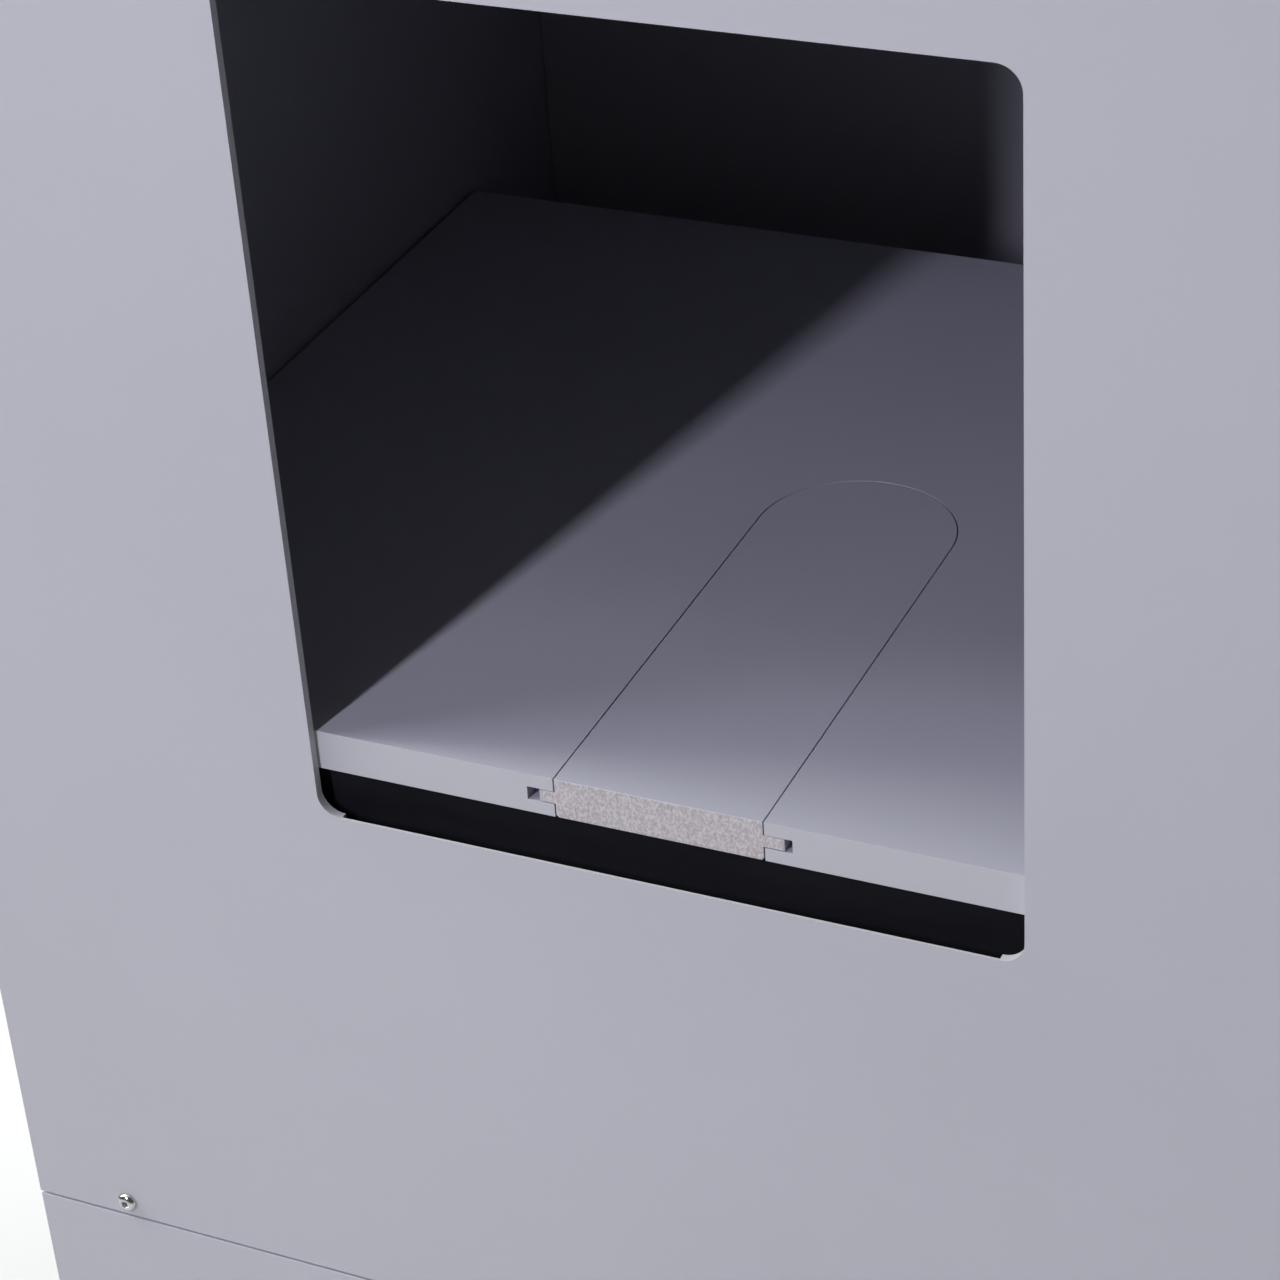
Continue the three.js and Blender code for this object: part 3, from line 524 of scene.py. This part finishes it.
# ---- fastenings and feet --------------------------------------------------------------------------------
def hexagon(across, count):
    """A hexagon drawn with as many points as the circle round it, so the two can be skinned together."""
    points = []
    for i in range(count):
        angle = 2 * math.pi * i / count
        turn = (math.degrees(angle) + 30) % 60 - 30
        radius = across / 2 / math.cos(math.radians(turn))
        points.append((radius * math.cos(angle), radius * math.sin(angle)))
    return points


def button_screw(side):
    """A socket screw: domed head, chamfered hexagon, and a plain washer face under it."""
    node = f"fascia_screw_{side}"
    middle = centre_of(node)
    count = 48
    head_r = 4.75 * MM
    head_h = 2.6 * MM
    piece = Piece((middle.x, FASCIA_Y, middle.z), "front")
    dome = []
    for i in range(9):
        t = math.radians(90 * i / 8)
        dome.append((circle((2.3 + 2.45 * math.cos(t)) * MM, count), 0.15 * MM + head_h * math.sin(t)))
    rim = [(circle(head_r - 0.15 * MM, count), 0.02 * MM), (circle(head_r, count), 0.12 * MM)]
    socket = [
        (hexagon(3.5 * MM, count), head_h + 0.12 * MM),
        (hexagon(3.1 * MM, count), head_h - 0.15 * MM),
        (hexagon(3.05 * MM, count), head_h - 1.7 * MM),
        (hexagon(0.6 * MM, count), head_h - 2.1 * MM),
    ]
    piece.loft(rim + dome + socket)
    piece.done(f"button_screw_{side}", "cabinet", [FINISHES["bright_steel"]], [node])


def levelling_foot(node):
    """A ribbed rubber pad on a threaded stud with its lock nut."""
    low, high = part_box(node)
    middle = (low + high) / 2
    piece = Piece((middle.x, middle.y, 0.0), "up")
    r = (high.x - low.x) / 2
    pad = [(r - 1.5 * MM, 0.0), (r, 1.2 * MM), (r, 2.4 * MM), (r - 0.8 * MM, 2.9 * MM), (r, 3.4 * MM),
           (r - 0.4 * MM, 5.0 * MM), (r - 6 * MM, 7.0 * MM), (11 * MM, 8.6 * MM), (9 * MM, 9.4 * MM)]
    piece.turned(pad)
    piece.mark = 1
    nut = hexagon(15 * MM, 48)
    crown = circle(7.3 * MM, 48)
    piece.loft([(crown, 9.2 * MM), (nut, 9.9 * MM), (nut, 14.2 * MM), (crown, 15.0 * MM)])
    thread = []
    pitch = 1.25 * MM
    root_r = 4.6 * MM
    turns = int((high.z - 15.2 * MM) / pitch)
    for i in range(turns):
        z = 15.0 * MM + i * pitch
        thread += [(root_r, z), (5.3 * MM, z + pitch / 2)]
    piece.turned(thread + [(root_r, high.z)], 32)
    piece.done(node.replace("levelling", "ribbed"), "cabinet",
               [FINISHES["rubber"], FINISHES["bright_steel"]], [node])


# ---- keys, slots and screen -------------------------------------------------------------------------------
RED_PRINT = key_print("cancel_red", (0.42, 0.015, 0.012))
GREEN_PRINT = key_print("enter_green", (0.01, 0.22, 0.05))
DARK_PRINT = key_print("figure_black", (0.012, 0.012, 0.014))
WHITE_PRINT = key_print("symbol_white", (0.72, 0.72, 0.70))


def key_cap(legend):
    """A steel cap with broken edges and a shallow dish, and its figure in the dish."""
    node = f"key_{legend}"
    low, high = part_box(node)
    middle = (low + high) / 2
    width, height = high.x - low.x, high.z - low.z
    piece = Piece((middle.x, low.y, middle.z), "front")

    def ring(inset, depth):
        radius = max(0.6 * MM, 2.2 * MM - inset * 0.5)
        return rounded_rectangle(width - 2 * inset, height - 2 * inset, radius), depth

    body = [ring(0, low.y - high.y), ring(0, -1.4 * MM), ring(0.25 * MM, -0.65 * MM),
            ring(0.8 * MM, -0.15 * MM), ring(1.5 * MM, 0.0), ring(2.2 * MM, -0.02 * MM)]
    loops = piece.loft(body, end=False)
    dish = [ring(2.9 * MM, -0.22 * MM), ring(4.2 * MM, -0.45 * MM), ring(6.0 * MM, -0.55 * MM)]
    coloured = {"cancel": RED_PRINT, "enter": GREEN_PRINT}.get(legend)
    piece.mark = 2 if coloured else 0
    inner = [piece.loop(*section) for section in dish]
    for first, second in zip([loops[-1]] + inner, inner):
        piece.bridge(first, second)
    piece.cap(inner[-1])
    piece.mark = 1
    key_figure(piece, legend, -0.5 * MM)
    figure = WHITE_PRINT if coloured else DARK_PRINT
    finishes = [FINISHES["key_metal"], figure] + ([coloured] if coloured else [])
    piece.done(f"cap_{legend}", node, finishes, [node])


def key_figure(piece, legend, depth):
    """A cross to cancel, a ring to enter, and otherwise the key's own figure."""
    if legend == "cancel":
        for spin in (45, -45):
            bar(piece, 6.5 * MM, 1.1 * MM, math.radians(spin), depth)
    elif legend == "enter":
        hollow_ring(piece, 3.2 * MM, 2.2 * MM, depth)
    else:
        piece.lettering(legend, 8.5 * MM, (0, 0), depth)


def bar(piece, length, width, spin, depth):
    turn = Matrix.Rotation(spin, 2)
    outline = [tuple(turn @ Vector(p)) for p in rounded_rectangle(length, width, width * 0.45, 3)]
    piece.loft([(outline, depth - 0.1 * MM), (outline, depth + 0.15 * MM)])


def hollow_ring(piece, outer, inner, depth):
    low, high = depth - 0.1 * MM, depth + 0.15 * MM
    loops = [piece.loop(circle(radius), z)
             for radius, z in ((outer, low), (outer, high), (inner, high), (inner, low))]
    for first, second in zip(loops, loops[1:] + loops[:1]):
        piece.bridge(first, second)


def slot_surround(name, node, slot_width, slot_height, lamp):
    """A raised, funnelled surround round a slot, with a lit lens set in its lower lip."""
    low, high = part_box(node)
    middle = (low + high) / 2
    width, height = high.x - low.x, high.z - low.z
    front = low.y
    piece = Piece((middle.x, front, middle.z), "front")

    def outer(inset, depth):
        return rounded_rectangle(width - 2 * inset, height - 2 * inset, 6 * MM - inset, 6), depth

    def mouth(grow, depth):
        radius = min(slot_height / 2 + grow, 1.2 * MM + grow)
        return rounded_rectangle(slot_width + 2 * grow, slot_height + 2 * grow, radius, 6), depth

    flange = front - FASCIA_Y + 0.3 * MM
    throat = front - high.y
    piece.loft([outer(0, flange), outer(0, -1.6 * MM), outer(0.5 * MM, -0.5 * MM), outer(1.6 * MM, 0.0),
                mouth(4.0 * MM, 0.0), mouth(3.2 * MM, -0.4 * MM), mouth(0.6 * MM, -4.2 * MM),
                mouth(0.0, -5.5 * MM), mouth(0.0, throat)], start=False, end=False)
    piece.done(name, "cabinet", [FINISHES["black_plastic"]], [node])
    lens = Piece((middle.x, front, middle.z - slot_height / 2 - 6.2 * MM), "front")
    lens.loft([(rounded_rectangle(slot_width * 0.8 - 2 * i * MM, 2.4 * MM - i * 0.8 * MM, 0.7 * MM), d)
               for i, d in ((0, -1.0 * MM), (0, 0.15 * MM), (0.5, 0.45 * MM), (1.0, 0.5 * MM))])
    lens.done(f"{name}_lens", "cabinet", [lamp])


def lens_glow(name, colour):
    s = Shader(name)
    cloudy = s.noise(240.0, 2.0, 0.5)
    shade = s.mix(cloudy, tint(colour, 0.8), colour)
    return s.finish(Base_Color=shade, Emission_Color=shade, Emission_Strength=0.6, Roughness=0.25)


# ---- safe and rear door -----------------------------------------------------------------------------------
def combination_dial():
    """A flanged dial with a hundred marks and a figure at every tenth, and a fluted knob."""
    low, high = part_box("combination_dial")
    middle = (low + high) / 2
    base = pivots["safe_door"].y - DOOR_FACE
    piece = Piece((middle.x, base, middle.z), "rear")
    r = (high.x - low.x) / 2
    piece.turned([(r - 1 * MM, 0.3 * MM), (r, 1.2 * MM), (r, 3.0 * MM), (r - 2 * MM, 5.4 * MM),
                  (r - 11 * MM, 8.0 * MM), (r - 13 * MM, 8.2 * MM)], 96)
    fluted_knob(piece, high.y - base)
    piece.mark = 1
    dial_marks(piece, r)
    piece.done("numbered_dial", "combination_dial", [FINISHES["black_plastic"], WHITE_PRINT],
               ["combination_dial"])


def fluted_knob(piece, top):
    count = 144
    flutes = []
    for i in range(count):
        angle = 2 * math.pi * i / count
        radius = 19.2 * MM + 0.6 * MM * math.cos(24 * angle)
        flutes.append((radius * math.cos(angle), radius * math.sin(angle)))
    shrunk = [(u * 0.93, v * 0.93) for u, v in flutes]
    piece.loft([(flutes, 7.6 * MM), (flutes, top - 2.0 * MM), (shrunk, top - 0.6 * MM),
                (circle(16.2 * MM, count), top - 0.2 * MM), (circle(15 * MM, count), top - 1.2 * MM)])


def dial_marks(piece, r):
    """The marks lie on the flange's slope, which rises 2.6 mm in 9 towards the knob."""
    rise = 2.6 / 9
    for i in range(100):
        angle = 2 * math.pi * i / 100
        tenth = i % 10 == 0
        mid = r - (5.4 if tenth else 4.4) * MM
        length = (4.4 if tenth else 2.6) * MM
        tick(piece, mid, length, angle, 5.4 * MM + (r - 2 * MM - mid) * rise)
        if tenth:
            spot = r - 10.2 * MM
            place = (spot * math.sin(angle), spot * math.cos(angle))
            piece.lettering(str(i), 3.2 * MM, place, 7.85 * MM, 0.15 * MM, -angle)


def tick(piece, radius, length, angle, depth):
    turn = Matrix.Rotation(-angle, 2)
    outward = Vector((0, radius))
    mark = rounded_rectangle(0.45 * MM, length, 0.2 * MM, 1)
    outline = [tuple(turn @ (Vector(point) + outward)) for point in mark]
    piece.loft([(outline, depth - 0.6 * MM), (outline, depth + 0.35 * MM)])


def safe_lever():
    """A forged lever: round boss on the door, a waisted arm and a ball end."""
    pivot = pivots["safe_handle"]
    piece = Piece(pivot, "rear")
    piece.turned([(21 * MM, 0.3 * MM), (22 * MM, 1.4 * MM), (22 * MM, 6 * MM), (20.5 * MM, 8.5 * MM),
                  (14 * MM, 11 * MM), (11 * MM, 14 * MM), (11 * MM, 28 * MM), (9.5 * MM, 30.5 * MM),
                  (5 * MM, 31.6 * MM)])
    lever_arm(piece, pivot.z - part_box("safe_handle")[0].z)
    piece.done("forged_lever", "safe_handle", [FINISHES["bright_steel"]], ["safe_handle"])


def lever_arm(piece, reach):
    """Slightly flattened rings from the boss down to the ball, which swells over the arm's last part."""
    sections = 22
    flatten = 0.88
    rings = []
    for i in range(sections + 1):
        t = i / sections
        along = -6 * MM - (reach - 8 * MM) * t
        waist = 8.0 - 3.2 * math.sin(math.pi * min(1.0, t * 1.15)) ** 2
        ball = max(0.0, 1 - ((t - 0.93) / 0.09) ** 2) ** 0.5 * 9.6 if t > 0.84 else 0.0
        half = 3.0 if i == sections else max(waist * (1 - 0.25 * t), ball)
        ring = [piece.at(u, along, 21.8 * MM + flatten * v) for u, v in circle(half * MM, 28)]
        rings.append([piece.mesh.verts.new(spot) for spot in ring])
    for first, second in zip(rings, rings[1:]):
        piece.bridge(first, second)
    piece.cap(rings[0], True)
    piece.cap(rings[-1])


def hinge_knuckles(door, heights, slot):
    """Three sleeves and two finials on each barrel, so that it reads as a pinned hinge."""
    share = BARREL_H / 3
    sleeve_r = BARREL_R + 0.5 * MM
    piece = Piece((0, 0, 0), "up")
    for z in heights:
        piece.origin = Vector((pivots[door].x, pivots[door].y, z))
        for k in range(3):
            low = -BARREL_H / 2 + k * share + 0.5 * MM
            high = low + share - 1.0 * MM
            piece.turned([(BARREL_R, low), (sleeve_r, low + 0.5 * MM),
                          (sleeve_r, high - 0.5 * MM), (BARREL_R, high)], 32)
        for side in (-1, 1):
            finial = [(4.4, -0.2), (4.4, 1.2), (3.0, 2.6), (1.0, 3.0)]
            piece.turned([(radius * MM, side * (BARREL_H / 2 + rise * MM)) for radius, rise in finial], 24)
    piece.done(f"{door}_knuckles", door, [FINISHES[slot]])


def pressed_hood(piece, middle, low):
    """One hood's skin, from its open lower lip to where it dies into the sheet above."""
    columns = 12
    rows = []
    for rise, depth in ((-0.6, 3.4), (0.2, 3.5), (2.4, 2.7), (5.0, 0.9), (6.4, 0.02)):
        row = []
        for k in range(columns + 1):
            t = k / columns
            bulge = math.sin(math.pi * min(1.0, min(t, 1 - t) * 7) / 2) ** 0.8
            u = middle + (t - 0.5) * (LOUVRE_WIDTH + 6 * MM)
            spot = piece.at(u, low + rise * MM, max(0.02, depth * bulge) * MM)
            row.append(piece.mesh.verts.new(spot))
        rows.append(row)
    for below, above in zip(rows, rows[1:]):
        for k in range(columns):
            face = piece.mesh.faces.new((below[k], below[k + 1], above[k + 1], above[k]))
            face.smooth = True


def louvre_hoods():
    """A pressed hood over each slot of the rear door, open below."""
    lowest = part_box("rear_door")[1].z - LOUVRE_DOWN
    piece = Piece((0, pivots["rear_door"].y - DOOR_FACE, 0), "rear")
    for left in LOUVRE_COLUMNS:
        for i in range(LOUVRE_ROWS):
            pressed_hood(piece, -(left + LOUVRE_WIDTH / 2), lowest + i * LOUVRE_PITCH)
    hoods = piece.done("louvre_hoods", "rear_door", [FINISHES["painted_panel"]])
    skin = hoods.modifiers.new("skin", "SOLIDIFY")
    skin.thickness = 0.8 * MM
    skin.offset = -1


button_screw("left")
button_screw("right")
for foot in [name for name in nodes if name.startswith("levelling_foot")]:
    levelling_foot(foot)
for figure in [str(n) for n in range(10)] + ["cancel", "enter"]:
    key_cap(figure)
GREEN_LENS = lens_glow("green_lens", (0.05, 0.55, 0.16))
WHITE_LENS = lens_glow("white_lens", (0.70, 0.74, 0.80))
slot_surround("card_surround", "card_reader_bezel", 62 * MM, 7 * MM, GREEN_LENS)
slot_surround("receipt_surround", "receipt_bezel", 82 * MM, 8 * MM, WHITE_LENS)
combination_dial()
safe_lever()
safe_low, safe_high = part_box("safe_door")
hinge_knuckles("safe_door", (safe_low.z + 70 * MM, safe_high.z - 70 * MM), "safe_paint")
rear_low, rear_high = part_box("rear_door")
rear_middle = (rear_low.z + rear_high.z) / 2
hinge_knuckles("rear_door", (rear_low.z + 90 * MM, rear_middle, rear_high.z - 90 * MM), "galvanised_steel")
louvre_hoods()


# ---- camera, light and floor --------------------------------------------------------------------------
def place_camera():
    """Stands to the customer's right of the window and looks down into the bay."""
    window = Vector((0.0, FASCIA_Y, SILL_Z))
    data = bpy.data.cameras.new("camera")
    data.sensor_width = 36.0
    data.lens = 96.46
    data.clip_start = 0.05
    camera = bpy.data.objects.new("camera", data)
    bpy.context.scene.collection.objects.link(camera)
    turn = Matrix.Rotation(math.radians(26.17), 4, "Z")
    tilt = Matrix.Rotation(math.radians(90.0 - 32.19), 4, "X")
    roll = Matrix.Rotation(math.radians(-4.13), 4, "Z")
    stand = Matrix.Translation(window + Vector((0.4762, -0.9686, 0.7934)))
    camera.matrix_world = stand @ turn @ tilt @ roll
    bpy.context.scene.camera = camera


def soft_light(name, place, aim, width, height, power, colour=(1.0, 1.0, 1.0)):
    data = bpy.data.lights.new(name, "AREA")
    data.shape = "RECTANGLE"
    data.size = width
    data.size_y = height
    data.energy = power
    data.color = colour
    lamp = bpy.data.objects.new(name, data)
    lamp.location = place
    lamp.rotation_euler = (Vector(aim) - Vector(place)).to_track_quat("-Z", "Y").to_euler()
    lamp.visible_camera = False
    bpy.context.scene.collection.objects.link(lamp)


def upright_strip(name, low, high, radiance, colour):
    """A narrow upright light in front of the machine, between two elevations seen from the deck's edge.

    It stands on the line that leaves the window's left edge at the shadow's bearing, so the shadow of
    that edge runs back over the deck along the same line."""
    bearing = math.radians(SHADOW_BEARING)
    edge = Vector((WINDOW_LEFT, FASCIA_Y, DECK_TOP))
    away = Vector((-math.sin(bearing), -math.cos(bearing), 0.0))
    bottom = LIGHT_AWAY * math.tan(math.radians(low))
    top = LIGHT_AWAY * math.tan(math.radians(high))
    place = edge + away * LIGHT_AWAY + Vector((0, 0, (bottom + top) / 2))
    height = top - bottom
    soft_light(name, place, place - away, STRIP_WIDTH, height, radiance * STRIP_WIDTH * height, colour)


def grazing_panel(name, bearing, rise, width, height, radiance, colour):
    """A panel beside the customer that brushes the fascia and the deck's front edge."""
    bearing, rise = math.radians(bearing), math.radians(rise)
    bay = Vector((0.0, FASCIA_Y, DECK_TOP))
    level = math.cos(rise)
    towards = Vector((-math.sin(bearing) * level, -math.cos(bearing) * level, math.sin(rise)))
    place = bay + towards * LIGHT_AWAY
    soft_light(name, place, bay, width, height, radiance * width * height, colour)


def light_the_room():
    upright_strip("strip_low", 22, 40, 245.0, (0.93, 0.91, 1.13))
    upright_strip("strip_middle", 40, 64, 51.0, (0.97, 1.0, 1.0))
    upright_strip("strip_high", 64, 74, 120.0, (0.98, 0.98, 1.04))
    grazing_panel("graze_high", 76, 50, 1.10, 1.39, 21.0, (0.96, 0.96, 1.12))
    grazing_panel("graze_side", 82, 35, 0.455, 3.0, 28.5, (1.04, 1.08, 0.84))
    soft_light("overhead", (0, 0.4, 4.2), (0, 0.4, 0), 3.0, 2.0, 60.0)
    soft_light("rear_left", (-2.6, 2.6, 2.0), (0, 0.1, 0.8), 1.8, 2.2, 90.0)
    soft_light("rear_right", (2.9, 1.9, 2.0), (0, 0.1, 0.8), 1.8, 2.2, 90.0)
    world = bpy.data.worlds.new("room")
    world.use_nodes = True
    background = world.node_tree.nodes["Background"]
    background.inputs["Color"].default_value = (1.0, 1.0, 0.96, 1.0)
    background.inputs["Strength"].default_value = 0.08
    bpy.context.scene.world = world


def lay_floor():
    mesh = bpy.data.meshes.new("floor")
    rim = 12.0
    mesh.from_pydata([(-rim, -rim, 0), (rim, -rim, 0), (rim, rim, 0), (-rim, rim, 0)], [], [(0, 1, 2, 3)])
    floor = bpy.data.objects.new("floor", mesh)
    bpy.context.scene.collection.objects.link(floor)
    s = Shader("floor_paint")
    shade = s.mix(s.noise(1.5, 4.0, 0.5), (0.56, 0.56, 0.56), (0.60, 0.60, 0.60))
    mesh.materials.append(s.finish(Base_Color=shade, Roughness=0.7))


place_camera()
light_the_room()
lay_floor()
bpy.context.scene.view_settings.view_transform = "Standard"
